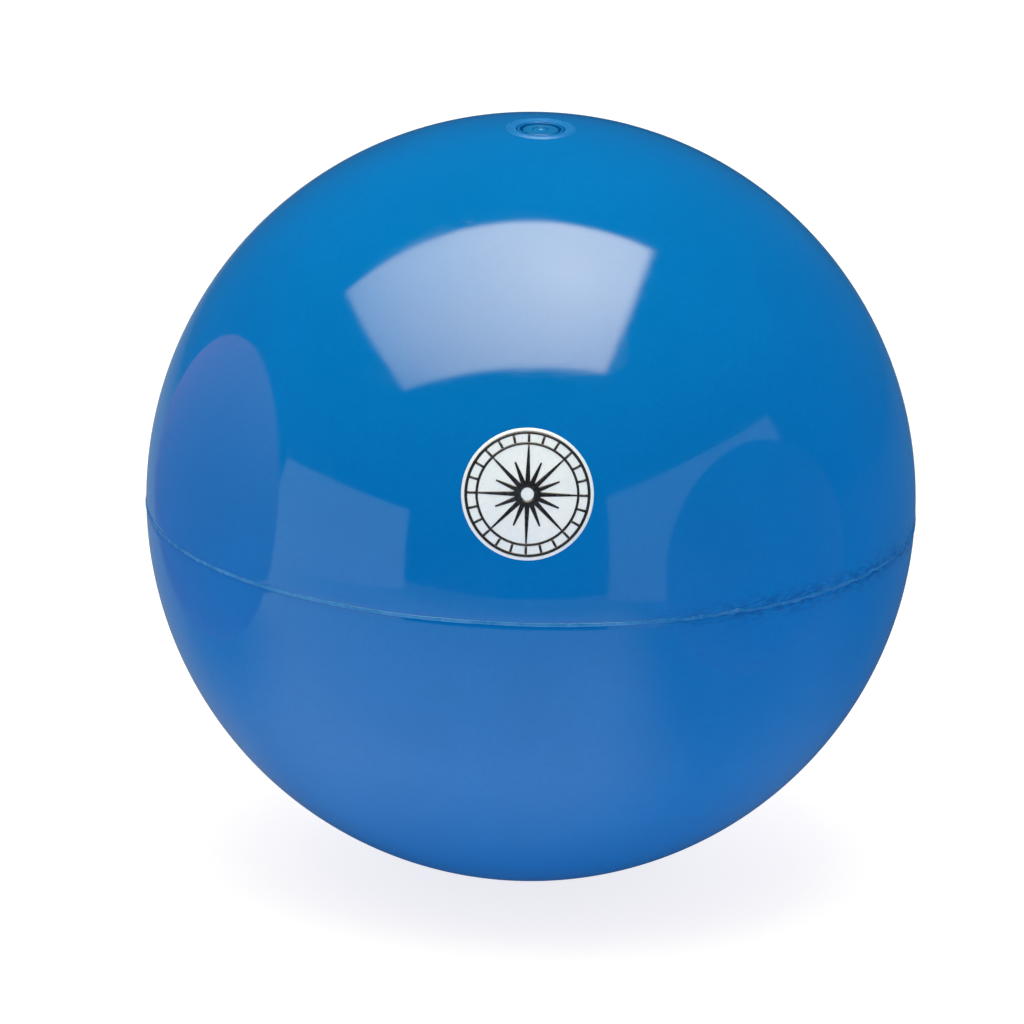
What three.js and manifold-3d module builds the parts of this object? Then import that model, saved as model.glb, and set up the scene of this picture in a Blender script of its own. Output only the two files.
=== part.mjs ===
// A rhythmic gymnastics ball: a hollow rubber sphere pumped up through a small valve.
//
// Two moulded half shells meet at a bevelled seam just below the equator, joined by a thin
// layer of rubber cement that squeezes out as a fine raised line. At the top pole a flanged
// valve housing is bonded inside the upper shell. A soft rubber core is pressed into the
// housing, and a small plug closes the needle channel of the core. A round mark is printed
// on the front in two layers of ink.
//
// Millimetres. The origin is the centre of the ball, +Z points at the valve, and -Y at the
// printed mark.
import * as THREE from "three";
import { mergeVertices } from "three/addons/utils/BufferGeometryUtils.js";
import Module from "manifold-3d";

const wasm = await Module();
wasm.setup();

// ---------------------------------------------------------------- driving dimensions

const BALL_RADIUS = 95;
const WALL = 3.1;
const INNER_RADIUS = BALL_RADIUS - WALL;
const SEAM_Z = -3.3; // the seam lies a little below the equator

const SHELL_SEGMENTS = 60; // facets around the ball
const VALVE_SEGMENTS = 28; // facets around the valve pieces
const PRINT_SEGMENTS = 40; // facets around the printed mark

const CLOSE_GAP = 0.1; // between pieces that are bonded or pressed together
const CEMENT = 0.2; // thickness of the cement layer in the seam

const seam = {
  bevel: WALL, // the joint slopes down by the wall's thickness from outside to inside
  beadHalfWidth: 0.38,
  beadHeight: 0.26,
};

const rim = {
  // the moulded ring around the valve
  outer: 9,
  crest: 7.8,
  inner: 6.3,
  height: 0.5,
  hole: 6, // the opening in the shell that the ring surrounds
};

const housing = {
  spigot: 5.8,
  faceZ: BALL_RADIUS - 0.25,
  flange: 18,
  flangeThickness: 2.2,
  edgeThickness: 0.7,
  neck: 6.4,
  endZ: 71,
  bore: 3,
  seatRadius: 5.1,
  seatDepth: 1.5,
  grooveRadius: 3.7,
  grooveTopZ: 88.4,
  grooveHeight: 2.6,
};

const core = {
  head: 4.4,
  faceZ: BALL_RADIUS - 0.32,
  headThickness: 1.25,
  stem: 2.75,
  barb: 3.35,
  tipZ: 73.5,
  lipStartZ: 80,
  lipThickness: 1.3,
  channel: 1.35,
  channelEndZ: 83.2,
  countersink: 2,
  countersinkDepth: 1,
};

const plug = {
  head: 1.8,
  sink: 0.12, // how far the head lies below the face of the core
  headThickness: 0.75,
  stem: 1.05,
  bulb: 1.18,
  endZ: 84.4,
  dimple: 0.75,
  dimpleDepth: 0.4,
};

const mark = {
  latitude: 17.6, // degrees above the equator, on the front
  radius: 16.2,
  ink: 0.05, // thickness of one layer of ink
  lift: 0.03, // clearance under each layer
  ringOuter: 15.4,
  ringInner: 14.7,
  bandOuter: 12.7, // a second ring, joined to the first by ticks
  bandInner: 12.1,
  ticks: 24,
  tickWidth: 0.6,
  rays: 8, // long rays, with a short one between each two
  shortRay: 8.4,
  rayRoot: 3.1,
  rayTip: 0.4, // width of a long ray where it meets the second ring
  eye: 1.6, // the opening in the middle
};

// ---------------------------------------------------------------- helpers

// Height of a sphere's surface at a distance from the vertical axis.
const sphereZ = (sphere, distance) => Math.sqrt(sphere ** 2 - distance ** 2);

// Distance of a sphere's surface from the vertical axis at a height.
const sphereX = (sphere, z) => Math.sqrt(sphere ** 2 - z ** 2);

const at = (distance, z) => new THREE.Vector2(distance, z);

// Points along a sphere's profile between two latitudes in radians, both ends included.
function arc(sphere, from, to, steps) {
  return Array.from({ length: steps + 1 }, (_, i) => {
    const latitude = from + ((to - from) * i) / steps;
    return at(sphere * Math.cos(latitude), sphere * Math.sin(latitude));
  });
}

// A solid of revolution about Z. The profile is [distance, height] points in mm, listed
// anticlockwise with the axis on the left, from axis to axis or round a closed loop.
function turned(profile, segments) {
  const onAxis = profile[0].x === 0 && profile.at(-1).x === 0;
  const points = onAxis ? profile : [...profile, profile[0].clone()];
  return new THREE.LatheGeometry(points, segments).rotateX(Math.PI / 2);
}

// A geometry as a manifold-3d solid, and back.
function solid(geometry) {
  const bare = geometry.clone();
  bare.deleteAttribute("normal");
  bare.deleteAttribute("uv");
  const merged = mergeVertices(bare, 1e-4);
  return new wasm.Manifold(
    new wasm.Mesh({
      numProp: 3,
      vertProperties: merged.attributes.position.array,
      triVerts: new Uint32Array(merged.index.array),
    }),
  );
}

function geometryOf(made) {
  const mesh = made.getMesh();
  const geometry = new THREE.BufferGeometry();
  geometry.setAttribute("position", new THREE.BufferAttribute(mesh.vertProperties, 3));
  geometry.setIndex(new THREE.BufferAttribute(mesh.triVerts, 1));
  geometry.computeVertexNormals();
  return geometry;
}

const rubber = (color, roughness) =>
  new THREE.MeshStandardMaterial({ color, roughness, metalness: 0 });

const materials = {
  shell: rubber(0x006fb7, 0.12),
  cement: rubber(0x4d94cf, 0.35),
  housing: rubber(0x0a64a8, 0.45),
  core: rubber(0x1c76ba, 0.4),
  plug: rubber(0x2f83c4, 0.35),
  white: rubber(0xf2f3f5, 0.4),
  black: rubber(0x16171b, 0.4),
};

function node(name, geometry, material) {
  const mesh = new THREE.Mesh(geometry, material);
  mesh.name = name;
  return mesh;
}

// ---------------------------------------------------------------- shells and seam

// The bevelled joint: a line from outside to inside that falls by seam.bevel. Each half
// shell stops half the cement's thickness, and a close gap, away from it.
const edgeOffset = CEMENT / 2 + CLOSE_GAP;
const seamEdge = (offset) => ({
  outer: at(sphereX(BALL_RADIUS, SEAM_Z + offset), SEAM_Z + offset),
  inner: at(
    sphereX(INNER_RADIUS, SEAM_Z - seam.bevel + offset),
    SEAM_Z - seam.bevel + offset,
  ),
});
const latitudeOf = (point) => Math.atan2(point.y, point.x);

function upperShell() {
  const edge = seamEdge(edgeOffset);
  const rimStart = Math.acos(rim.outer / BALL_RADIUS);
  const flangeEdge = Math.acos((housing.flange + 1) / INNER_RADIUS);
  const holeInside = Math.acos(rim.hole / INNER_RADIUS);
  const onRim = (distance, height) =>
    at(distance, sphereZ(BALL_RADIUS, distance) + height);
  return turned(
    [
      ...arc(BALL_RADIUS, latitudeOf(edge.outer), rimStart, 12),
      onRim(rim.outer - 0.35, rim.height * 0.72),
      onRim(rim.crest, rim.height),
      onRim(rim.inner + 0.35, rim.height * 0.72),
      onRim(rim.inner, 0),
      at(rim.hole, sphereZ(BALL_RADIUS, rim.hole) - 0.1),
      ...arc(INNER_RADIUS, holeInside, flangeEdge, 2),
      ...arc(INNER_RADIUS, flangeEdge, latitudeOf(edge.inner), 8).slice(1),
    ],
    SHELL_SEGMENTS,
  );
}

function lowerShell() {
  const edge = seamEdge(-edgeOffset);
  const bottom = -Math.PI / 2;
  const outside = arc(BALL_RADIUS, bottom, latitudeOf(edge.outer), 12);
  const inside = arc(INNER_RADIUS, latitudeOf(edge.inner), bottom, 9);
  outside[0].x = 0;
  inside.at(-1).x = 0;
  return turned([...outside, ...inside], SHELL_SEGMENTS);
}

// The cement layer between the half shells, with the bead that stands proud of the ball.
function seamCement() {
  const lower = seamEdge(-CEMENT / 2);
  const upper = seamEdge(CEMENT / 2);
  const overBall = (z, height) => at(sphereX(BALL_RADIUS, z) + height, z);
  const lift = 0.04; // the bead's feet lie just clear of the shells
  const { beadHalfWidth, beadHeight } = seam;
  return turned(
    [
      lower.inner,
      lower.outer,
      overBall(SEAM_Z - beadHalfWidth, lift),
      overBall(SEAM_Z - beadHalfWidth / 2, beadHeight),
      overBall(SEAM_Z + beadHalfWidth / 2, beadHeight),
      overBall(SEAM_Z + beadHalfWidth, lift),
      upper.outer,
      upper.inner,
    ],
    SHELL_SEGMENTS,
  );
}

// ---------------------------------------------------------------- valve

function valveHousing() {
  const bonded = INNER_RADIUS - 0.15; // the flange's curved top, just clear of the shell
  const neckInside = Math.acos(housing.spigot / bonded);
  const flangeEdge = Math.acos(housing.flange / bonded);
  const top = arc(bonded, flangeEdge, neckInside, 3);
  const under = (distance, thickness) => at(distance, sphereZ(bonded, distance) - thickness);
  const seatZ = housing.faceZ - housing.seatDepth;
  const grooveEndZ = housing.grooveTopZ - housing.grooveHeight;
  return turned(
    [
      at(housing.bore, housing.endZ),
      at(housing.neck - 0.8, housing.endZ),
      at(housing.neck, housing.endZ + 0.8),
      under(housing.neck, housing.flangeThickness + 0.6),
      under(housing.neck + 1, housing.flangeThickness),
      under(housing.flange * 0.65, housing.flangeThickness * 0.8),
      under(housing.flange, housing.edgeThickness),
      ...top,
      at(housing.spigot, housing.faceZ),
      at(housing.seatRadius, housing.faceZ),
      at(housing.seatRadius, seatZ),
      at(housing.bore, seatZ),
      at(housing.bore, housing.grooveTopZ),
      at(housing.grooveRadius, housing.grooveTopZ),
      at(housing.bore, grooveEndZ),
    ],
    VALVE_SEGMENTS,
  );
}

// The soft core: a flat head, a stem with a barb, and two flat lips at the inner end. The
// slit between the lips is closed, so the channel ends above them.
function valveCore() {
  const headUnderZ = core.faceZ - core.headThickness;
  const barbTopZ = housing.grooveTopZ - 0.3;
  const body = turned(
    [
      at(0, core.tipZ),
      at(core.stem - 0.4, core.tipZ),
      at(core.stem, core.tipZ + 0.4),
      at(core.stem, barbTopZ - 1.9),
      at(core.barb, barbTopZ),
      at(core.stem, barbTopZ),
      at(core.stem, headUnderZ),
      at(core.head, headUnderZ),
      at(core.head, core.faceZ - 0.15),
      at(core.head - 0.15, core.faceZ),
      at(core.countersink, core.faceZ),
      at(core.countersink, core.faceZ - core.countersinkDepth),
      at(core.channel, core.faceZ - core.countersinkDepth),
      at(core.channel, core.channelEndZ),
      at(0, core.channelEndZ - 0.6),
    ],
    VALVE_SEGMENTS,
  );
  return geometryOf([1, -1].reduce((made, side) => made.subtract(lipCut(side)), solid(body)));
}

// The wedge taken off one side of the core's inner end to leave a flat lip.
function lipCut(side) {
  const wide = core.stem + 1;
  const half = core.lipThickness / 2;
  const outline = new THREE.Shape([
    at(half, core.tipZ - 1),
    at(wide, core.tipZ - 1),
    at(wide, core.lipStartZ),
    at(half, core.tipZ + 1.5),
  ]);
  const wedge = new THREE.ExtrudeGeometry(outline, { depth: 2 * wide, bevelEnabled: false });
  wedge.translate(0, 0, -wide).rotateX(Math.PI / 2);
  if (side < 0) wedge.rotateZ(Math.PI);
  return solid(wedge);
}

function valvePlug() {
  const faceZ = core.faceZ - plug.sink;
  const underZ = faceZ - plug.headThickness;
  return turned(
    [
      at(0, plug.endZ),
      at(plug.stem - 0.35, plug.endZ),
      at(plug.bulb, plug.endZ + 0.7),
      at(plug.stem - 0.1, plug.endZ + 1.6),
      at(plug.stem, underZ),
      at(plug.head, underZ),
      at(plug.head, faceZ - 0.2),
      at(plug.head - 0.2, faceZ),
      at(plug.dimple, faceZ),
      at(plug.dimple * 0.6, faceZ - plug.dimpleDepth),
      at(0, faceZ - plug.dimpleDepth),
    ],
    VALVE_SEGMENTS,
  );
}

// ---------------------------------------------------------------- printed mark

// A layer of ink over the cap of a sphere, around +Z.
function inkCap(underside) {
  const reach = (sphere) => Math.acos(mark.radius / sphere);
  const over = underside + mark.ink;
  const pole = Math.PI / 2;
  const outside = arc(over, reach(over), pole, 4);
  const inside = arc(underside, pole, reach(underside), 4);
  outside.at(-1).x = 0;
  inside[0].x = 0;
  return turned([...inside, ...outside], PRINT_SEGMENTS);
}

// A point of the mark, by its distance from the centre and its angle in radians.
const inMark = (distance, angle) => at(distance * Math.cos(angle), distance * Math.sin(angle));

// Points round the centre of the mark between two angles, both ends included.
const markArc = (distance, from, to, steps) =>
  Array.from({ length: steps + 1 }, (_, i) => inMark(distance, from + ((to - from) * i) / steps));

// The opening between two ticks, from the second ring to the first.
function tickWindow(index) {
  const step = (2 * Math.PI) / mark.ticks;
  const middle = (index + 0.5) * step;
  const half = (distance) => (step - mark.tickWidth / distance) / 2;
  const outer = half(mark.ringInner);
  const inner = half(mark.bandOuter);
  return [
    ...markArc(mark.ringInner, middle - outer, middle + outer, 3),
    ...markArc(mark.bandOuter, middle + inner, middle - inner, 3),
  ];
}

// The opening between two long rays, which the short ray between them reaches into.
function rayWindow(index) {
  const step = (2 * Math.PI) / mark.rays;
  const from = index * step;
  const to = from + step;
  const tip = mark.rayTip / 2 / mark.bandInner;
  return [
    ...markArc(mark.bandInner, from + tip, to - tip, 8),
    inMark(mark.rayRoot, to - step / 4),
    inMark(mark.shortRay, (from + to) / 2),
    inMark(mark.rayRoot, from + step / 4),
  ];
}

// The black lines of the mark as one flat outline, pushed through the ball's front.
function markPrism() {
  const depth = 10;
  const circle = (radius) => markArc(radius, 0, 2 * Math.PI, 2 * PRINT_SEGMENTS).slice(0, -1);
  const outline = new THREE.Shape(circle(mark.ringOuter));
  outline.holes = [
    circle(mark.eye),
    ...Array.from({ length: mark.ticks }, (_, i) => tickWindow(i)),
    ...Array.from({ length: mark.rays }, (_, i) => rayWindow(i)),
  ].map((points) => new THREE.Path(points));
  const prism = new THREE.ExtrudeGeometry(outline, { depth, bevelEnabled: false });
  return solid(prism.translate(0, 0, BALL_RADIUS - depth / 2));
}

function printedMark() {
  const base = BALL_RADIUS + mark.lift;
  const line = base + mark.ink + mark.lift;
  const lines = markPrism().intersect(solid(inkCap(line)));
  const group = new THREE.Group();
  group.add(
    node("mark_base", inkCap(base), materials.white),
    node("mark_lines", geometryOf(lines), materials.black),
  );
  group.rotation.x = THREE.MathUtils.degToRad(90 - mark.latitude);
  return group;
}

// ---------------------------------------------------------------- the ball

const ball = new THREE.Group();
ball.add(
  node("upper_shell", upperShell(), materials.shell),
  node("lower_shell", lowerShell(), materials.shell),
  node("seam_cement", seamCement(), materials.cement),
  node("valve_housing", valveHousing(), materials.housing),
  node("valve_core", valveCore(), materials.core),
  node("valve_plug", valvePlug(), materials.plug),
  printedMark(),
);

export default ball;
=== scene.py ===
"""Looks of a rhythmic gymnastics ball: a glossy hollow rubber ball on a pale floor.

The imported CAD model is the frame. The half shells, the seam, the valve and the printed mark
are rebuilt here as smooth, detailed pieces in the places that the CAD nodes give. Lengths
are in metres, the origin is the centre of the ball, +Z points at the valve, and -Y at the
side with the printed mark.
"""

import math

import bmesh
import bpy
import numpy as np
from mathutils import Matrix, Vector, noise

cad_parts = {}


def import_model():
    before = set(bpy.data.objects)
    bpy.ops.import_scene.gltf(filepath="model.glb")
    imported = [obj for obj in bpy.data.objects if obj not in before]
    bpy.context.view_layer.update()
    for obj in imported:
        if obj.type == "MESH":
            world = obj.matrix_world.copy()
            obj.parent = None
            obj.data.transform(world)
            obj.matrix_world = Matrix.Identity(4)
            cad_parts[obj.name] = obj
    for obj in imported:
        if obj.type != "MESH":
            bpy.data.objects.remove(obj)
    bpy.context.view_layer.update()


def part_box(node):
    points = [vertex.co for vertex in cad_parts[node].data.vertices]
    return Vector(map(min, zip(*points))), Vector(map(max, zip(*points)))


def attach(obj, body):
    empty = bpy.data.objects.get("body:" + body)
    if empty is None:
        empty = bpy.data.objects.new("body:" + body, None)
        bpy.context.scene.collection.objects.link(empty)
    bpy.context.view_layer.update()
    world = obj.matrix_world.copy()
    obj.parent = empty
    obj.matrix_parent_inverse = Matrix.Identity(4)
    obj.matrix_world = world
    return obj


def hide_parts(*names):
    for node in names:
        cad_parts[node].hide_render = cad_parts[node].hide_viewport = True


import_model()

MM = 0.001

# ---------------------------------------------------------------- sizes, from the CAD model

CAD_EDGE_GAP = 0.2 * MM  # from the middle of the seam to the edge of a CAD shell

BALL_RADIUS = -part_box("lower_shell")[0].z
SEAM_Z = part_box("lower_shell")[1].z + CAD_EDGE_GAP
WALL = SEAM_Z + CAD_EDGE_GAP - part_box("upper_shell")[0].z

HOUSING_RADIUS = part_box("valve_housing")[1].x
HOUSING_END_Z, HOUSING_FACE_Z = (corner.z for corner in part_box("valve_housing"))
CORE_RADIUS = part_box("valve_core")[1].x
CORE_TIP_Z, CORE_FACE_Z = (corner.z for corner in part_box("valve_core"))
PLUG_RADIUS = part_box("valve_plug")[1].x
PLUG_END_Z, PLUG_FACE_Z = (corner.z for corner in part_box("valve_plug"))

MARK_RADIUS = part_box("mark_base")[1].x
MARK_RING_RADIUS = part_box("mark_lines")[1].x
MARK_MIDDLE = sum(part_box("mark_base"), Vector()) / 2
MARK_LATITUDE = math.atan2(MARK_MIDDLE.z, -MARK_MIDDLE.y)

# ---------------------------------------------------------------- sizes of the finer detail

SHELL_SEGMENTS = 256
VALVE_SEGMENTS = 96
MARK_SEGMENTS = 192
ROUNDING_STEPS = 6
ON_AXIS = 1e-9  # a point of a profile that is nearer to the axis lies on it

SEAM_GAP = 0.1 * MM  # from the middle of the cement to a shell's edge
EDGE_ROUNDING = 0.15 * MM
BEAD_HALF_WIDTH = 0.48 * MM
BEAD_HEIGHT = 0.15 * MM
BEAD_SUNK = 0.12 * MM  # how deep the bead's foot lies under the ball's surface
BEAD_ROOT = 0.45 * MM
CEMENT_INNER_GAP = 0.3 * MM  # from the inside of the wall to the cement

RIM_OUTER = 9.1 * MM
RIM_CREST = 7.8 * MM
RIM_INNER = 6.2 * MM
RIM_HEIGHT = 0.5 * MM
RIM_LIP = 0.12 * MM

BOND_GAP = 0.15 * MM  # between the shell and the housing's flange
SPIGOT_RADIUS = 5.85 * MM
SEAT_RADIUS = 5.15 * MM
SEAT_DEPTH = 1.5 * MM
BORE = 3 * MM
NECK = 6.4 * MM
FLANGE_THICKNESS = 2.2 * MM
FLANGE_THINNING = 0.66  # share of its thickness that the flange loses on the way out

CORE_HEAD_THICKNESS = 1.25 * MM
CORE_CROWN = 0.1 * MM
CORE_POCKET_RADIUS = PLUG_RADIUS + 0.12 * MM
CORE_POCKET_DEPTH = 1 * MM
CORE_STEM = 2.75 * MM
CORE_CHANNEL = 1.35 * MM
LIP_START_Z = 80 * MM
LIP_LENGTH = 1.5 * MM  # at the tip, pinched all the way
LIP_HALF_THICKNESS = 0.65 * MM

PLUG_STEM = 1.05 * MM
PLUG_BULB = 1.18 * MM
PLUG_BULB_HALF_LENGTH = 0.9 * MM
PLUG_HEAD_THICKNESS = 0.75 * MM
DIMPLE = 0.75 * MM
DIMPLE_DEPTH = 0.4 * MM

INK = 0.05 * MM
INK_LIFT = 0.03 * MM
RING_INNER = 14.7 * MM
BAND_OUTER = 12.7 * MM
BAND_INNER = 12.1 * MM
TICKS = 24
TICK_WIDTH = 0.6 * MM
RAYS = 16  # long and short ones in turn
SHORT_RAY = 8.4 * MM
RAY_ROOT = 3.1 * MM
RAY_TIP = 0.4 * MM
EYE = 1.6 * MM

# ---------------------------------------------------------------- mesh helpers


def smooth_step(start, end, value):
    """0 before start, 1 after end, and a smooth change between; start may be above end."""
    share = min(max((value - start) / (end - start), 0), 1)
    return share * share * (3 - 2 * share)


def sphere_z(sphere, distance):
    """Height of a sphere's surface at a distance from the vertical axis."""
    return math.sqrt(sphere**2 - distance**2)


def arc(sphere, start, end, steps):
    """Profile points of a sphere between two latitudes, both included."""
    latitudes = np.linspace(start, end, steps + 1)
    return [(sphere * math.cos(a), sphere * math.sin(a)) for a in latitudes]


def latitude_at(sphere, z):
    """Latitude at which a sphere's surface is at a height."""
    return math.asin(z / sphere)


def rounded(corners):
    """Profile points of a loop of corners, (distance, height, rounding), rounded off.

    A corner is cut back by its rounding along both of its sides. Two more points close by
    keep the shading of the flats beside it flat.
    """
    points = []
    for i, (distance, height, rounding) in enumerate(corners):
        here = Vector((distance, height))
        if rounding == 0:
            points.append((distance, height))
            continue
        before = Vector(corners[i - 1][:2]) - here
        after = Vector(corners[(i + 1) % len(corners)][:2]) - here
        start = here + before.normalized() * rounding
        end = here + after.normalized() * rounding
        bend = [
            start * (1 - t) ** 2 + here * 2 * t * (1 - t) + end * t**2
            for t in np.linspace(0, 1, ROUNDING_STEPS + 1)
        ]
        first_support = here + before.normalized() * rounding * 1.3
        last_support = here + after.normalized() * rounding * 1.3
        points += [tuple(p) for p in (first_support, *bend, last_support)]
    return points


def new_piece(name, vertices, faces):
    """A smooth-shaded mesh object."""
    mesh = bpy.data.meshes.new(name)
    mesh.from_pydata(vertices, [], faces)
    mesh.validate()
    mesh.shade_smooth()
    piece = bpy.data.objects.new(name, mesh)
    bpy.context.scene.collection.objects.link(piece)
    return piece


def turned(name, profile, segments):
    """A closed solid of revolution about Z.

    The profile is (distance, height) points, anticlockwise with the axis on the left: from
    axis to axis, or a closed loop.
    """
    from_axis = profile[0][0] < ON_AXIS
    rings, vertices = [], []
    for distance, height in profile:
        if distance < ON_AXIS:
            rings.append([len(vertices)] * segments)
            vertices.append((0.0, 0.0, height))
            continue
        rings.append(range(len(vertices), len(vertices) + segments))
        for i in range(segments):
            angle = 2 * math.pi * i / segments
            vertices.append((distance * math.sin(angle), -distance * math.cos(angle), height))
    if not from_axis:
        rings.append(rings[0])
    faces = []
    for below, above in zip(rings, rings[1:]):
        for i in range(segments):
            j = (i + 1) % segments
            corners = (below[i], below[j], above[j], above[i])
            faces.append(tuple(dict.fromkeys(corners)))
    return new_piece(name, vertices, faces)


def place(piece, body, node, made):
    """Puts a piece on its body, in the place of its CAD node, with its finish."""
    piece.data.materials.append(made)
    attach(piece, body)
    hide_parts(node)


# ---------------------------------------------------------------- shells and seam


def rim_height(distance):
    """How far the moulded ring round the valve stands proud of the ball."""
    if distance >= RIM_CREST:
        share = (distance - RIM_CREST) / (RIM_OUTER - RIM_CREST)
    else:
        share = (RIM_CREST - distance) / (RIM_CREST - RIM_INNER)
    return RIM_HEIGHT * 0.5 * (1 + math.cos(math.pi * min(share, 1)))


def upper_shell():
    """The upper half, from the seam up to the ring round the valve, and back inside."""
    inner_radius = BALL_RADIUS - WALL
    low = latitude_at(BALL_RADIUS, SEAM_Z + SEAM_GAP)
    rim = math.acos(RIM_OUTER / BALL_RADIUS)
    outside = arc(BALL_RADIUS, low + EDGE_ROUNDING / BALL_RADIUS, rim, 90)
    ring = [
        (d, sphere_z(BALL_RADIUS, d) + rim_height(d))
        for d in np.linspace(RIM_OUTER, RIM_INNER, 40)[1:]
    ]
    lip_z = ring[-1][1]
    lip = [
        (RIM_INNER - 0.08 * MM, lip_z - 0.04 * MM),
        (RIM_INNER - RIM_LIP, lip_z - 0.15 * MM),
    ]
    inside = arc(
        inner_radius,
        math.acos((RIM_INNER - RIM_LIP) / inner_radius),
        latitude_at(inner_radius, SEAM_Z - WALL + SEAM_GAP),
        60,
    )
    edge = (BALL_RADIUS - EDGE_ROUNDING, SEAM_Z + SEAM_GAP)
    return turned("upper_half", outside + ring + lip + inside + [edge], SHELL_SEGMENTS)


def lower_shell():
    """The lower half, a closed cup below the seam."""
    inner_radius = BALL_RADIUS - WALL
    top = latitude_at(BALL_RADIUS, SEAM_Z - SEAM_GAP)
    outside = arc(BALL_RADIUS, -math.pi / 2, top - EDGE_ROUNDING / BALL_RADIUS, 90)
    inside = arc(
        inner_radius,
        latitude_at(inner_radius, SEAM_Z - WALL - SEAM_GAP),
        -math.pi / 2,
        60,
    )
    outside[0] = (0.0, outside[0][1])
    inside[-1] = (0.0, inside[-1][1])
    edge = (BALL_RADIUS - EDGE_ROUNDING, SEAM_Z - SEAM_GAP)
    return turned("lower_half", outside + [edge] + inside, SHELL_SEGMENTS)


def seam_line():
    """The cement in the seam, whose squeezed-out bead wanders and swells a little."""
    inner = BALL_RADIUS - WALL + CEMENT_INNER_GAP
    root = BALL_RADIUS - BEAD_ROOT
    half_gap = SEAM_GAP * 0.8
    inner_z = SEAM_Z - WALL * 0.9
    bead = [
        (
            BALL_RADIUS - BEAD_SUNK + (BEAD_HEIGHT + BEAD_SUNK) * math.cos(a),
            SEAM_Z + BEAD_HALF_WIDTH * math.sin(a),
        )
        for a in np.linspace(-math.pi / 2, math.pi / 2, 13)
    ]
    profile = [
        (inner, inner_z - half_gap),
        (root, SEAM_Z - half_gap),
        *bead,
        (root, SEAM_Z + half_gap),
        (inner, inner_z + half_gap),
    ]
    piece = turned("seam_line", profile, 900)
    for vertex in piece.data.vertices:
        wander(vertex)
    return piece


def wander(vertex):
    """Moves a vertex of the bead by smooth noise, which is strongest on the +X side."""
    x, y, z = vertex.co
    distance = math.hypot(x, y)
    if distance < BALL_RADIUS - 2 * BEAD_SUNK:
        return
    way = Vector((x, y, 0)) / distance
    untidy = smooth_step(0.2, 0.6, way.x)
    swell = 0.9 + 0.45 * noise.noise(way * 7) + (0.2 + 1.3 * untidy) * noise.noise(way * 40)
    shift = 0.14 * MM * noise.noise(way * 5 + Vector((7, 0, 0)))
    shift += (0.05 + 0.4 * untidy) * MM * noise.noise(way * 30 + Vector((0, 7, 0)))
    height = (distance - BALL_RADIUS) * max(swell, 0.2)
    scale = (BALL_RADIUS + height) / distance
    width = 0.7 + 0.3 * swell
    vertex.co = (x * scale, y * scale, SEAM_Z + (z - SEAM_Z) * width + shift)


# ---------------------------------------------------------------- valve


def flange_thickness(distance):
    """How thick the housing's flange is at a distance from the axis."""
    return FLANGE_THICKNESS * (1 - FLANGE_THINNING * (distance / HOUSING_RADIUS) ** 2)


def valve_body():
    """The flanged housing bonded under the shell, whose face is the ledge round the core."""
    bonded = BALL_RADIUS - WALL - BOND_GAP
    flange_top = arc(
        bonded,
        math.acos(HOUSING_RADIUS * 0.995 / bonded),
        math.acos((SPIGOT_RADIUS + 0.4 * MM) / bonded),
        24,
    )
    under = [
        (d, sphere_z(bonded, d) - flange_thickness(d))
        for d in np.linspace(NECK + 0.8 * MM, HOUSING_RADIUS * 0.985, 20)
    ]
    seat_z = HOUSING_FACE_Z - SEAT_DEPTH
    shank = rounded(
        [
            (BORE, HOUSING_END_Z, 0.3 * MM),
            (NECK, HOUSING_END_Z, 0.9 * MM),
            (NECK, under[0][1] - 0.6 * MM, 0.3 * MM),
            (*under[0], 0),
            (*flange_top[0], 0),
            (SPIGOT_RADIUS, sphere_z(bonded, SPIGOT_RADIUS), 0.2 * MM),
            (SPIGOT_RADIUS, HOUSING_FACE_Z, 0.16 * MM),
            (SEAT_RADIUS, HOUSING_FACE_Z, 0.18 * MM),
            (SEAT_RADIUS, seat_z, 0.2 * MM),
            (BORE, seat_z, 0.2 * MM),
        ]
    )
    split = shank.index(flange_top[0])
    profile = shank[:split] + under[1:] + flange_top + shank[split + 1 :]
    return turned("valve_body", profile, VALVE_SEGMENTS)


def valve_insert():
    """The soft core: a crowned head, a stem, and an inner end pinched flat between two lips."""
    under_z = CORE_FACE_Z - CORE_HEAD_THICKNESS
    pocket_z = CORE_FACE_Z - CORE_POCKET_DEPTH
    stem_heights = np.linspace(CORE_TIP_Z + 1.2 * MM, LIP_START_Z + 1 * MM, 14)
    corners = [
        (0, CORE_TIP_Z, 0),
        (CORE_STEM, CORE_TIP_Z, 0.5 * MM),
        *((CORE_STEM, z, 0) for z in stem_heights),
        (CORE_STEM, under_z, 0.2 * MM),
        (CORE_RADIUS, under_z, 0.25 * MM),
        (CORE_RADIUS, CORE_FACE_Z - CORE_CROWN, 0.3 * MM),
        (CORE_POCKET_RADIUS, CORE_FACE_Z, 0.15 * MM),
        (CORE_POCKET_RADIUS, pocket_z, 0.1 * MM),
        (CORE_CHANNEL, pocket_z, 0.1 * MM),
        (CORE_CHANNEL, PLUG_END_Z - 1 * MM, 0.3 * MM),
        (0, PLUG_END_Z - 1.4 * MM, 0),
    ]
    piece = turned("valve_insert", rounded(corners), VALVE_SEGMENTS)
    for vertex in piece.data.vertices:
        pinched = smooth_step(LIP_START_Z, CORE_TIP_Z + LIP_LENGTH, vertex.co.z)
        vertex.co.y *= 1 + (LIP_HALF_THICKNESS / CORE_STEM - 1) * pinched
        vertex.co.x *= 1 + 0.05 * pinched
    return piece


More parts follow.
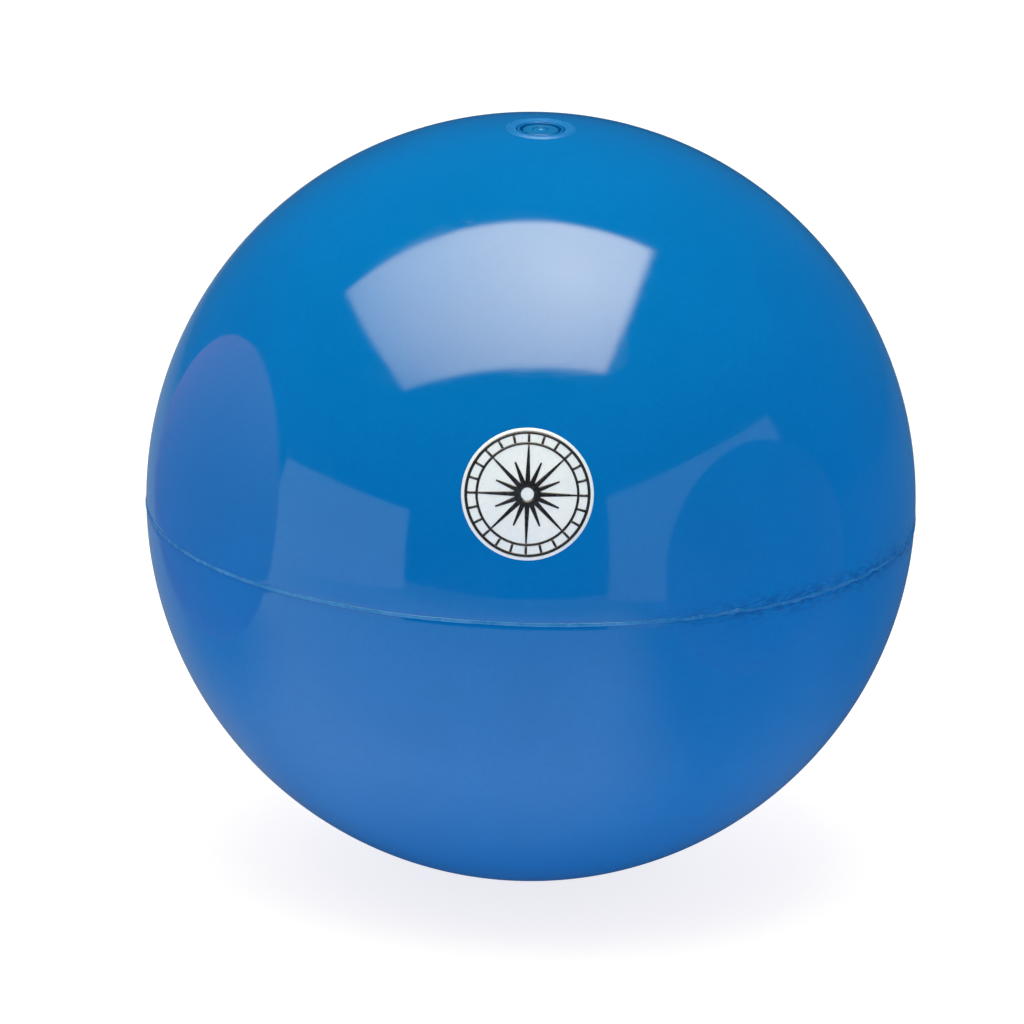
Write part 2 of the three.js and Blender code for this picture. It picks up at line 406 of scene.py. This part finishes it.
def needle_plug():
    """The plug: a head with a dimple, a stem, and a bulb that snaps into the channel."""
    under_z = PLUG_FACE_Z - PLUG_HEAD_THICKNESS
    bulb = [
        (PLUG_BULB * math.sin(a), PLUG_END_Z + PLUG_BULB_HALF_LENGTH * (1 - math.cos(a)))
        for a in np.linspace(0, math.pi * 0.62, 16)
    ]
    head = rounded(
        [
            (PLUG_STEM - 0.06 * MM, PLUG_END_Z + 2 * MM, 0),
            (PLUG_STEM, under_z, 0.12 * MM),
            (PLUG_RADIUS, under_z, 0.12 * MM),
            (PLUG_RADIUS, PLUG_FACE_Z, 0.22 * MM),
            (DIMPLE, PLUG_FACE_Z, 0.15 * MM),
            (DIMPLE * 0.5, PLUG_FACE_Z - DIMPLE_DEPTH, 0.15 * MM),
            (0, PLUG_FACE_Z - DIMPLE_DEPTH, 0),
        ]
    )
    return turned("needle_plug", bulb + head, VALVE_SEGMENTS)


# ---------------------------------------------------------------- printed mark


def on_the_front(piece):
    """Turns a piece made round +Z to the place of the mark on the ball's front."""
    piece.data.transform(Matrix.Rotation(math.pi / 2 - MARK_LATITUDE, 4, "X"))


def mark_disc():
    """The white layer of the mark, a round film that follows the ball."""
    under = BALL_RADIUS + INK_LIFT
    over = under + INK
    reach = math.acos(MARK_RADIUS / over)
    outside = arc(over, reach, math.pi / 2, 24)
    inside = arc(under, math.pi / 2, reach, 24)
    outside[-1] = (0.0, over)
    inside[0] = (0.0, under)
    piece = turned("mark_disc", inside + outside, MARK_SEGMENTS)
    on_the_front(piece)
    return piece


def printed_patch(sheet, distances, half_angle, middle, columns):
    """Adds a patch of the mark to a bmesh, as wide as half_angle(distance) on both sides."""
    under = BALL_RADIUS + 2 * INK_LIFT + INK
    rows = []
    for distance in distances:
        row = []
        for side in np.linspace(-1, 1, columns + 1):
            angle = middle + side * half_angle(distance)
            x, y = distance * math.cos(angle), distance * math.sin(angle)
            row.append(sheet.verts.new((x, y, sphere_z(under, distance))))
        rows.append(row)
    for near, far in zip(rows, rows[1:]):
        for i in range(columns):
            sheet.faces.new((near[i], far[i], far[i + 1], near[i + 1]))


def ray_half_angle(reach):
    """Half the angle of a ray of the star, which narrows from the root to its tip."""
    at_root = RAY_ROOT * math.pi / RAYS
    at_tip = RAY_TIP / 2

    def half_angle(distance):
        share = max(distance - RAY_ROOT, 0) / (reach - RAY_ROOT)
        width = at_root + (at_tip - at_root) * share
        return width / max(distance, RAY_ROOT)

    return half_angle


def mark_lines():
    """The black lines: a ring, ticks, a second ring and a star, as one printed layer."""
    sheet = bmesh.new()
    for inner, outer in ((RING_INNER, MARK_RING_RADIUS), (BAND_INNER, BAND_OUTER)):
        distances = np.linspace(inner, outer, 3)
        printed_patch(sheet, distances, lambda _: math.pi, 0, MARK_SEGMENTS)
    for i in range(TICKS):
        middle = 2 * math.pi * i / TICKS
        distances = np.linspace(BAND_OUTER, RING_INNER, 4)
        printed_patch(sheet, distances, lambda d: TICK_WIDTH / 2 / d, middle, 1)
    for i in range(RAYS):
        reach = SHORT_RAY if i % 2 else BAND_INNER
        middle = 2 * math.pi * i / RAYS
        distances = [EYE, (EYE + RAY_ROOT) / 2, *np.linspace(RAY_ROOT, reach, 12)]
        printed_patch(sheet, distances, ray_half_angle(reach), middle, 3)
    bmesh.ops.remove_doubles(sheet, verts=sheet.verts, dist=0.01 * MM)
    mesh = bpy.data.meshes.new("mark_print")
    sheet.to_mesh(mesh)
    sheet.free()
    mesh.shade_smooth()
    piece = bpy.data.objects.new("mark_print", mesh)
    bpy.context.scene.collection.objects.link(piece)
    on_the_front(piece)
    film = piece.modifiers.new("ink", "SOLIDIFY")
    film.thickness = INK
    film.offset = 1
    return piece


# ---------------------------------------------------------------- materials

IOR = 1.45
BLUE = (0.0005, 0.163, 0.5)
LIGHTER_BLUE = (0.0008, 0.176, 0.535)
DEEPER_BLUE = (0.0004, 0.145, 0.46)
# painted shade on the ripples by the seam
RIPPLE_SHADE_BLUE = (0.0004, 0.12, 0.4)
GLOSS_ROUGHNESS = 0.045
RIM_FOOT_Z = sphere_z(BALL_RADIUS, RIM_OUTER)
RIM_MATT_RISE = 0.22 * MM  # height above its foot in which the ring turns matt
RIM_ROUGHNESS = 0.42
SHEEN = 0.27
SHEEN_ROUGHNESS = 0.35
SHEEN_TINT = (0.1, 0.45, 1.0)
CEMENT_BLUE = (0.004, 0.19, 0.5)
# paler cement, partly its own tone and partly a painted highlight on the bead
PALE_CEMENT_AND_HIGHLIGHT = (0.04, 0.25, 0.58)
CORE_BLUE = (0.002, 0.17, 0.46)
PLUG_BLUE = (0.006, 0.2, 0.52)
WHITE_INK = (0.93, 0.93, 0.98)
WORN_WHITE = (0.45, 0.6, 0.8)
BLACK_INK = (0.012, 0.012, 0.016)
WORN_BLACK = (0.12, 0.13, 0.16)


class Recipe:
    """A procedural material on a Principled shader, in the object's own coordinates."""

    def __init__(self, name):
        self.made = bpy.data.materials.new(name)
        self.made.use_nodes = True
        self.tree = self.made.node_tree
        self.shader = self.tree.nodes["Principled BSDF"]
        self.shader.inputs["IOR"].default_value = IOR
        self.place = self.add("ShaderNodeTexCoord").outputs["Object"]
        self.normal = None

    def add(self, kind, **settings):
        """A node, with the given sockets set to numbers or linked to other sockets."""
        node = self.tree.nodes.new(kind)
        for name, value in settings.items():
            socket = node.inputs[name.replace("_", " ")]
            if isinstance(value, bpy.types.NodeSocket):
                self.tree.links.new(value, socket)
            else:
                socket.default_value = value
        return node

    def noise(self, size, detail=2.0, stretch=(1, 1, 1)):
        """Noise whose lumps are about size across, as a number between 0 and 1."""
        scale = [1 / (size * share) for share in stretch]
        mapping = self.add("ShaderNodeMapping", Vector=self.place, Scale=scale)
        spot = mapping.outputs["Vector"]
        lumps = self.add("ShaderNodeTexNoise", Vector=spot, Scale=1.0, Detail=detail)
        return lumps.outputs["Fac"]

    def spread(self, value, start, end, low, high):
        """The value's range from start to end as low to high, and no further."""
        node = self.add("ShaderNodeMapRange", Value=value)
        limits = {"From Min": start, "From Max": end, "To Min": low, "To Max": high}
        for name, limit in limits.items():
            node.inputs[name].default_value = limit
        return node.outputs["Result"]

    def mixed(self, share, first, second):
        """A colour from first to second, either of which may be a plain one."""
        mix = self.tree.nodes.new("ShaderNodeMixRGB")
        self.tree.links.new(share, mix.inputs["Fac"])
        for name, color in (("Color1", first), ("Color2", second)):
            if isinstance(color, tuple):
                mix.inputs[name].default_value = (*color, 1)
            else:
                self.tree.links.new(color, mix.inputs[name])
        return mix.outputs["Color"]

    def math(self, operation, *values):
        """The outcome of a sum of sockets and plain numbers."""
        node = self.tree.nodes.new("ShaderNodeMath")
        node.operation = operation
        for value, socket in zip(values, node.inputs):
            if isinstance(value, bpy.types.NodeSocket):
                self.tree.links.new(value, socket)
            else:
                socket.default_value = value
        return node.outputs["Value"]

    def base(self, color):
        """Links the shader's base colour."""
        self.tree.links.new(color, self.shader.inputs["Base Color"])

    def roughness(self, value):
        """Links the shader's roughness."""
        self.tree.links.new(value, self.shader.inputs["Roughness"])

    def bump(self, height, distance):
        """Adds relief of the given depth on top of what is there."""
        bump = self.add("ShaderNodeBump", Height=height, Distance=distance)
        if self.normal:
            self.tree.links.new(self.normal, bump.inputs["Normal"])
        self.normal = bump.outputs["Normal"]
        self.tree.links.new(self.normal, self.shader.inputs["Normal"])


def ball_rubber():
    """Glossy moulded rubber: barely mottled, faintly uneven, with a little handling wear."""
    recipe = Recipe("ball_rubber")
    clouds = recipe.spread(recipe.noise(28 * MM, 3), 0.3, 0.7, 0, 1)
    color = recipe.mixed(clouds, BLUE, LIGHTER_BLUE)
    grain = recipe.spread(recipe.noise(1.4 * MM, 3), 0.35, 0.7, 0, 0.35)
    color = recipe.mixed(grain, color, DEEPER_BLUE)
    spot = recipe.add("ShaderNodeSeparateXYZ", Vector=recipe.place).outputs
    ripples = seam_ripples(recipe, spot)
    # Painted shade: the ripples by the seam on the +X side are darkened in colour.
    recipe.base(recipe.mixed(ripples, color, RIPPLE_SHADE_BLUE))
    smears = recipe.noise(11 * MM, 4, (1, 1, 0.35))
    polished = recipe.spread(smears, 0.3, 0.75, GLOSS_ROUGHNESS, GLOSS_ROUGHNESS * 2.2)
    matt_z = RIM_FOOT_Z + RIM_MATT_RISE
    moulded = recipe.spread(spot["Z"], RIM_FOOT_Z, matt_z, GLOSS_ROUGHNESS, RIM_ROUGHNESS)
    recipe.roughness(recipe.math("MAXIMUM", polished, moulded))
    recipe.bump(recipe.noise(16 * MM, 1), 0.035 * MM)
    recipe.bump(recipe.noise(1.1 * MM, 2), 0.0016 * MM)
    recipe.bump(scuffs(recipe), 0.002 * MM)
    recipe.bump(ripples, 0.12 * MM)
    recipe.shader.inputs["Sheen Weight"].default_value = SHEEN
    recipe.shader.inputs["Sheen Roughness"].default_value = SHEEN_ROUGHNESS
    recipe.shader.inputs["Sheen Tint"].default_value = (*SHEEN_TINT, 1)
    return recipe.made


def scuffs(recipe):
    """Hairline scuffs here and there, as a height that is 1 but for the scuffs."""
    hairs = recipe.spread(recipe.noise(4 * MM, 1, (6, 1, 0.12)), 0.5, 0.512, 0, 1)
    other_hairs = recipe.spread(recipe.noise(5 * MM, 1, (0.12, 5, 1.5)), 0.5, 0.51, 0, 1)
    where = recipe.spread(recipe.noise(45 * MM, 1), 0.52, 0.62, 0, 1)
    return recipe.math("MULTIPLY", recipe.math("ADD", hairs, other_hairs), where)


def seam_ripples(recipe, spot):
    """Ripples along the seam on the +X side, from 0 to 1, used as relief and as painted shade."""
    from_seam = recipe.math("ABSOLUTE", recipe.math("SUBTRACT", spot["Z"], SEAM_Z))
    band = recipe.spread(from_seam, 1 * MM, 4.5 * MM, 1, 0)
    side = recipe.spread(spot["X"], 25 * MM, 60 * MM, 0, 1)
    ripples = recipe.spread(recipe.noise(2.6 * MM, 2, (1, 1, 0.35)), 0.45, 0.58, 0, 1)
    return recipe.math("MULTIPLY", ripples, recipe.math("MULTIPLY", band, side))


def seam_cement():
    """Cement that squeezed out and was trimmed: paler in places, with painted shade on +X."""
    recipe = Recipe("seam_cement")
    # Paler patches: partly the cement's own tone, partly a painted highlight on the bead.
    patches = recipe.spread(recipe.noise(9 * MM, 4), 0.4, 0.62, 0, 1)
    color = recipe.mixed(patches, CEMENT_BLUE, PALE_CEMENT_AND_HIGHLIGHT)
    side = recipe.add("ShaderNodeSeparateXYZ", Vector=recipe.place).outputs["X"]
    # Painted shade: the +X side is darkened, where the bead catches less light.
    shaded_side = recipe.spread(side, 15 * MM, 55 * MM, 0, 0.65)
    recipe.base(recipe.mixed(shaded_side, color, DEEPER_BLUE))
    recipe.roughness(recipe.spread(recipe.noise(3 * MM, 3), 0.3, 0.7, 0.12, 0.4))
    recipe.bump(recipe.noise(0.7 * MM, 3), 0.03 * MM)
    return recipe.made


def valve_rubber(name, color, darker, roughness):
    """Softer satin rubber, a little cloudy, with a fine moulded grain."""
    recipe = Recipe(name)
    clouds = recipe.spread(recipe.noise(2.5 * MM, 4), 0.35, 0.65, 0, 1)
    recipe.base(recipe.mixed(clouds, color, darker))
    recipe.roughness(recipe.spread(recipe.noise(0.9 * MM, 3), 0.3, 0.7, roughness, roughness * 1.6))
    recipe.bump(recipe.noise(0.35 * MM, 3), 0.012 * MM)
    return recipe.made


def ink(name, color, worn, roughness):
    """Screen ink: a slightly grainy film with a few pinholes that show what is under it."""
    recipe = Recipe(name)
    pinholes = recipe.spread(recipe.noise(0.55 * MM, 4), 0.66, 0.72, 0, 0.75)
    clouds = recipe.spread(recipe.noise(6 * MM, 3), 0.35, 0.65, 0, 0.12)
    recipe.base(recipe.mixed(pinholes, recipe.mixed(clouds, color, worn), worn))
    recipe.roughness(recipe.spread(recipe.noise(1.2 * MM, 3), 0.3, 0.7, roughness, roughness * 1.5))
    recipe.bump(recipe.noise(0.3 * MM, 3), 0.006 * MM)
    return recipe.made


shell_rubber = ball_rubber()
place(upper_shell(), "ball", "upper_shell", shell_rubber)
place(lower_shell(), "ball", "lower_shell", shell_rubber)
place(seam_line(), "ball", "seam_cement", seam_cement())
housing_rubber = valve_rubber("housing_rubber", BLUE, DEEPER_BLUE, 0.16)
place(valve_body(), "ball", "valve_housing", housing_rubber)
core_rubber = valve_rubber("core_rubber", CORE_BLUE, DEEPER_BLUE, 0.26)
place(valve_insert(), "ball", "valve_core", core_rubber)
plug_rubber = valve_rubber("plug_rubber", PLUG_BLUE, BLUE, 0.22)
place(needle_plug(), "plug", "valve_plug", plug_rubber)
white_ink = ink("white_ink", WHITE_INK, WORN_WHITE, 0.2)
place(mark_disc(), "ball", "mark_base", white_ink)
black_ink = ink("black_ink", BLACK_INK, WORN_BLACK, 0.22)
place(mark_lines(), "ball", "mark_lines", black_ink)

# ---------------------------------------------------------------- studio

# What the ball's gloss shows is kept apart from what lights it. The gloss sees a bright
# softbox with soft edges, two cards, two more balls and a table that is dark behind. Matt
# surfaces are lit by a dimmer softbox, a pale room and the glow of the floor. The camera sees
# a white floor and a white room, and none of the rest. Places are (x, y) on the floor.
SOFTBOX_HEIGHT = 0.942
# Front left, front right, back right and back left.
SOFTBOX_CORNERS = ((-0.883, -0.745), (0.431, -0.675), (0.469, 0.256), (-0.957, 0.264))
SOFTBOX_BRIGHTEST = (0.13, -0.1)
SOFTBOX_FALLOFF = 0.66  # how much of its light is lost in a metre from the brightest spot
SOFTBOX_SIZE = (1.37, 0.97)  # width and depth between its corners, on average
SOFTBOX_FADE = 0.05  # width of the edge in which it fades to nothing
SOFTBOX_SEEN = (13.0, 11.3, 8.6)
SOFTBOX_LIT = (4.3, 4.4, 3.1)
ROOM_SEEN = 0.02
ROOM_LIT = 0.71
ROOM_BRIGHTEST = (-0.04, 0.44, 0.1)  # the way in which the room is brighter
ROOM_COLOR = (0.72, 0.82, 1.0)
TABLE_FRONT = -0.5
TABLE_BRIGHT = 0.95
TABLE_DIM_NEAR = 0.34
TABLE_DIM_FAR = 0.23
FLOOR_GLOW = 0.65
FLOOR_COLOR = (0.88, 0.97, 1.15)
FLOOR_SEEN = (1.24, 1.18, 1.12)  # by the camera
FLOOR_ALBEDO = 0.4
BACKGROUND = (1.0, 1.0, 1.0)
LEFT_NEIGHBOUR = (-0.208, 0.0)
RIGHT_NEIGHBOUR = (0.175, -0.116)
RIGHT_NEIGHBOUR_RADIUS = 0.92 * BALL_RADIUS
# Low and high colours, painted light: the left ball lit on top, the right ball lighter low down.
LEFT_NEIGHBOUR_COLORS = ((0.32, 0.05, 0.12), (0.7, 0.16, 0.22))
RIGHT_NEIGHBOUR_COLORS = ((0.36, 0.1, 0.16), (0.05, 0.03, 0.05))
LEFT_CARD = ((-0.47, -0.13), (-0.272, -0.418))
LEFT_CARD_TOPS = (0.106, 0.09)
LEFT_CARD_SEEN = (1.0, 1.0, 1.0)
RIGHT_CARD = ((0.178, -0.445), (0.516, -0.083))
RIGHT_CARD_TOPS = (0.14, 0.228)
RIGHT_CARD_SEEN = (0.66, 0.66, 0.66)


def stage_piece(name, vertices, faces, made):
    """A piece of the studio."""
    piece = new_piece(name, vertices, faces)
    piece.data.materials.append(made)
    return piece


def only_in_gloss(piece):
    """Keeps a piece of the studio out of everything but reflections."""
    piece.visible_camera = False
    piece.visible_shadow = False
    piece.visible_diffuse = False


def glow(name, seen, lit=(0, 0, 0)):
    """A glowing material: seen is its light to the rays of gloss, and lit its light to others.

    Both are multiplied by the mesh attribute "light".
    """
    recipe = Recipe(name)
    recipe.tree.nodes.remove(recipe.shader)
    path = recipe.add("ShaderNodeLightPath")
    color = recipe.mixed(path.outputs["Is Glossy Ray"], lit, seen)
    pattern = recipe.add("ShaderNodeAttribute")
    pattern.attribute_name = "light"
    emission = recipe.add("ShaderNodeEmission", Color=color, Strength=pattern.outputs["Fac"])
    output = recipe.tree.nodes["Material Output"]
    recipe.tree.links.new(emission.outputs["Emission"], output.inputs["Surface"])
    return recipe.made


def plain(name, color):
    """A matt material."""
    recipe = Recipe(name)
    recipe.shader.inputs["Base Color"].default_value = (*color, 1)
    recipe.shader.inputs["Roughness"].default_value = 1.0
    recipe.shader.inputs["Specular IOR Level"].default_value = 0.0
    return recipe


def light_up(piece, lights):
    """Gives each vertex of a glowing piece its share of the glow."""
    attribute = piece.data.attributes.new("light", "FLOAT", "POINT")
    attribute.data.foreach_set("value", lights)


def grid_faces(across, down):
    """The faces of a grid whose vertices are listed row by row."""
    corners = [j * across + i for j in range(down - 1) for i in range(across - 1)]
    return [(c, c + 1, c + 1 + across, c + across) for c in corners]


def softbox_light(x, y, inside):
    """How bright the softbox is at a point that is so far inside its edge."""
    light = 1 - SOFTBOX_FALLOFF * math.dist((x, y), SOFTBOX_BRIGHTEST)
    return light * smooth_step(0, SOFTBOX_FADE, inside)


def contact_shade(distance, darkest):
    """How much light is left on the table at a distance from where a ball stands."""
    return darkest + (1 - darkest) * smooth_step(0.03, 0.11, distance)


def table_light(x, y):
    """How bright the table is in the gloss: bright in front, dim behind and to the right."""
    right = smooth_step(-0.2, 0.15, x)
    near_dim = TABLE_DIM_NEAR - 0.15 * right
    far_dim = TABLE_DIM_FAR - 0.18 * right
    dim = near_dim + (far_dim - near_dim) * smooth_step(-0.05, 0.07, y)
    dim *= 1 - 0.9 * smooth_step(0.4, 1.2, y)
    bright = TABLE_BRIGHT - 0.2 * smooth_step(-0.15, -0.27, y)
    bright -= 0.35 * smooth_step(-0.33, -0.41, y)
    in_front = smooth_step(0.0, -0.09, y)
    lit_side = smooth_step(0.05, -0.03, x + 0.5 * y)
    light = dim + (bright - dim) * in_front * lit_side
    light *= contact_shade(math.hypot(x, y), 0.06)
    light *= contact_shade(math.dist((x, y), LEFT_NEIGHBOUR), 0.6)
    return light


def softbox():
    """The light above the ball, as a grid so that its glow can fade at the edges."""
    front_left, front_right, back_right, back_left = (Vector(c) for c in SOFTBOX_CORNERS)
    width, depth = SOFTBOX_SIZE
    shares = np.linspace(0, 1, 81)
    vertices, lights = [], []
    for back in shares:
        left, right = front_left.lerp(back_left, back), front_right.lerp(back_right, back)
        for across in shares:
            x, y = left.lerp(right, across)
            inside = min(width * min(across, 1 - across), depth * min(back, 1 - back))
            vertices.append((x, y, SOFTBOX_HEIGHT))
            lights.append(softbox_light(x, y, inside))
    faces = grid_faces(len(shares), len(shares))
    made = glow("softbox", SOFTBOX_SEEN, SOFTBOX_LIT)
    piece = stage_piece("softbox", vertices, faces, made)
    light_up(piece, lights)
    piece.visible_camera = False


def table_in_gloss():
    """The table as a glow with painted light and shadows, and a finer grid near the balls on it."""
    near = np.linspace(-0.15, 0.15, 61)
    by_neighbour = np.linspace(-0.225, -0.155, 8)
    xs = [-2, -1, -0.5, -0.35, -0.3, -0.25, *by_neighbour, *near, 0.2, 0.3, 0.5, 1, 2]
    ys = [*np.linspace(TABLE_FRONT, -0.17, 12), *near, 0.2, 0.3, 0.5, 0.8, 1.2, 3]
    z = -BALL_RADIUS - 0.2 * MM
    vertices = [(x, y, z) for y in ys for x in xs]
    faces = grid_faces(len(xs), len(ys))
    piece = stage_piece("table_in_gloss", vertices, faces, glow("table_in_gloss", (1, 1, 1)))
    light_up(piece, [table_light(x, y) for x, y, _ in vertices])
    only_in_gloss(piece)


def side_card(name, ends, tops, seen):
    """An upright card on the table, glowing with painted light, with a height at either end."""
    start, end = ends
    low = -BALL_RADIUS
    corners = [(*start, low), (*end, low), (*end, tops[1]), (*start, tops[0])]
    piece = stage_piece(name, corners, [(0, 1, 2, 3)], glow(name, seen))
    light_up(piece, [1] * len(corners))
    only_in_gloss(piece)


def neighbour(name, spot, radius, colors):
    """Another ball on the table, only in the gloss, its low and high colours painting light and
    shade.
    """
    recipe = plain(name, colors[0])
    height = recipe.add("ShaderNodeSeparateXYZ", Vector=recipe.place).outputs["Z"]
    # Painted light and shade, from the low colour to the high one.
    shares = recipe.spread(height, -0.5 * radius, 0.7 * radius, 0, 1)
    recipe.base(recipe.mixed(shares, *colors))
    piece = turned(name, arc(radius, -math.pi / 2, math.pi / 2, 48), 96)
    piece.data.materials.append(recipe.made)
    piece.location = (*spot, radius - BALL_RADIUS)
    only_in_gloss(piece)


def floor():
    """The floor that the camera sees, which reaches further back than it does to the front."""
    z = -BALL_RADIUS - 0.1 * MM
    corners = [(-3, -3, z), (3, -3, z), (3, 6, z), (-3, 6, z)]
    recipe = plain("floor", (FLOOR_ALBEDO,) * 3)
    path = recipe.add("ShaderNodeLightPath")
    color = recipe.mixed(path.outputs["Is Camera Ray"], FLOOR_COLOR, FLOOR_SEEN)
    recipe.tree.links.new(color, recipe.shader.inputs["Emission Color"])
    recipe.shader.inputs["Emission Strength"].default_value = FLOOR_GLOW
    stage_piece("floor", corners, [(0, 1, 2, 3)], recipe.made).visible_glossy = False


def world():
    """The room: almost dark to the gloss, brightest behind the ball, white to the camera."""
    made = bpy.data.worlds.new("studio")
    bpy.context.scene.world = made
    made.use_nodes = True
    nodes, links = made.node_tree.nodes, made.node_tree.links
    background = nodes["Background"]
    direction = nodes.new("ShaderNodeTexCoord")
    towards = nodes.new("ShaderNodeVectorMath")
    towards.operation = "DOT_PRODUCT"
    towards.inputs[1].default_value = ROOM_BRIGHTEST
    lit = nodes.new("ShaderNodeMapRange")
    lit.inputs["From Min"].default_value = -1
    lit.inputs["To Min"].default_value = 0
    lit.inputs["To Max"].default_value = 2 * ROOM_LIT
    links.new(direction.outputs["Generated"], towards.inputs[0])
    links.new(towards.outputs["Value"], lit.inputs["Value"])
    path = nodes.new("ShaderNodeLightPath")
    gloss = nodes.new("ShaderNodeMix")
    links.new(path.outputs["Is Glossy Ray"], gloss.inputs["Factor"])
    links.new(lit.outputs["Result"], gloss.inputs["A"])
    gloss.inputs["B"].default_value = ROOM_SEEN
    color = nodes.new("ShaderNodeMixRGB")
    links.new(path.outputs["Is Camera Ray"], color.inputs["Fac"])
    color.inputs["Color1"].default_value = (*ROOM_COLOR, 1)
    color.inputs["Color2"].default_value = (*BACKGROUND, 1)
    links.new(color.outputs["Color"], background.inputs["Color"])
    camera_sees = nodes.new("ShaderNodeMix")
    links.new(path.outputs["Is Camera Ray"], camera_sees.inputs["Factor"])
    links.new(gloss.outputs["Result"], camera_sees.inputs["A"])
    camera_sees.inputs["B"].default_value = 1
    links.new(camera_sees.outputs["Result"], background.inputs["Strength"])


softbox()
table_in_gloss()
side_card("left_card", LEFT_CARD, LEFT_CARD_TOPS, LEFT_CARD_SEEN)
side_card("right_card", RIGHT_CARD, RIGHT_CARD_TOPS, RIGHT_CARD_SEEN)
neighbour("left_neighbour", LEFT_NEIGHBOUR, BALL_RADIUS, LEFT_NEIGHBOUR_COLORS)
neighbour("right_neighbour", RIGHT_NEIGHBOUR, RIGHT_NEIGHBOUR_RADIUS, RIGHT_NEIGHBOUR_COLORS)
floor()
world()

# ---------------------------------------------------------------- camera

CAMERA_DISTANCE = 80 * BALL_RADIUS
CAMERA_ELEVATION = math.radians(17.3)
CAMERA_AZIMUTH = math.radians(0.6)
CAMERA_ROLL = math.radians(1.5)
SENSOR_WIDTH = 36  # in mm, as Blender has it
BALL_IN_PICTURE = 0.3758  # the ball's radius as a share of the picture's width
OFF_CENTRE = (0.01855, 0.01523)  # to the right and up, as shares of the picture's width


def camera():
    """A far camera at the photo's viewing angle, with the ball a little off the middle."""
    data = bpy.data.cameras.new("camera")
    made = bpy.data.objects.new("camera", data)
    bpy.context.scene.collection.objects.link(made)
    tangent = math.tan(math.asin(BALL_RADIUS / CAMERA_DISTANCE))
    data.sensor_width = SENSOR_WIDTH
    data.lens = SENSOR_WIDTH * BALL_IN_PICTURE / tangent
    data.clip_start = 0.1
    data.clip_end = 50
    back = Vector(
        (
            math.sin(CAMERA_AZIMUTH) * math.cos(CAMERA_ELEVATION),
            -math.cos(CAMERA_AZIMUTH) * math.cos(CAMERA_ELEVATION),
            math.sin(CAMERA_ELEVATION),
        )
    )
    upright = back.to_track_quat("Z", "Y").to_matrix()
    turned_by = upright @ Matrix.Rotation(CAMERA_ROLL, 3, "Z")
    scale = BALL_RADIUS / BALL_IN_PICTURE
    aim = turned_by @ Vector((-OFF_CENTRE[0] * scale, -OFF_CENTRE[1] * scale, 0))
    made.matrix_world = Matrix.Translation(aim + back * CAMERA_DISTANCE) @ turned_by.to_4x4()
    bpy.context.scene.camera = made


camera()
bpy.context.scene.view_settings.view_transform = "Standard"
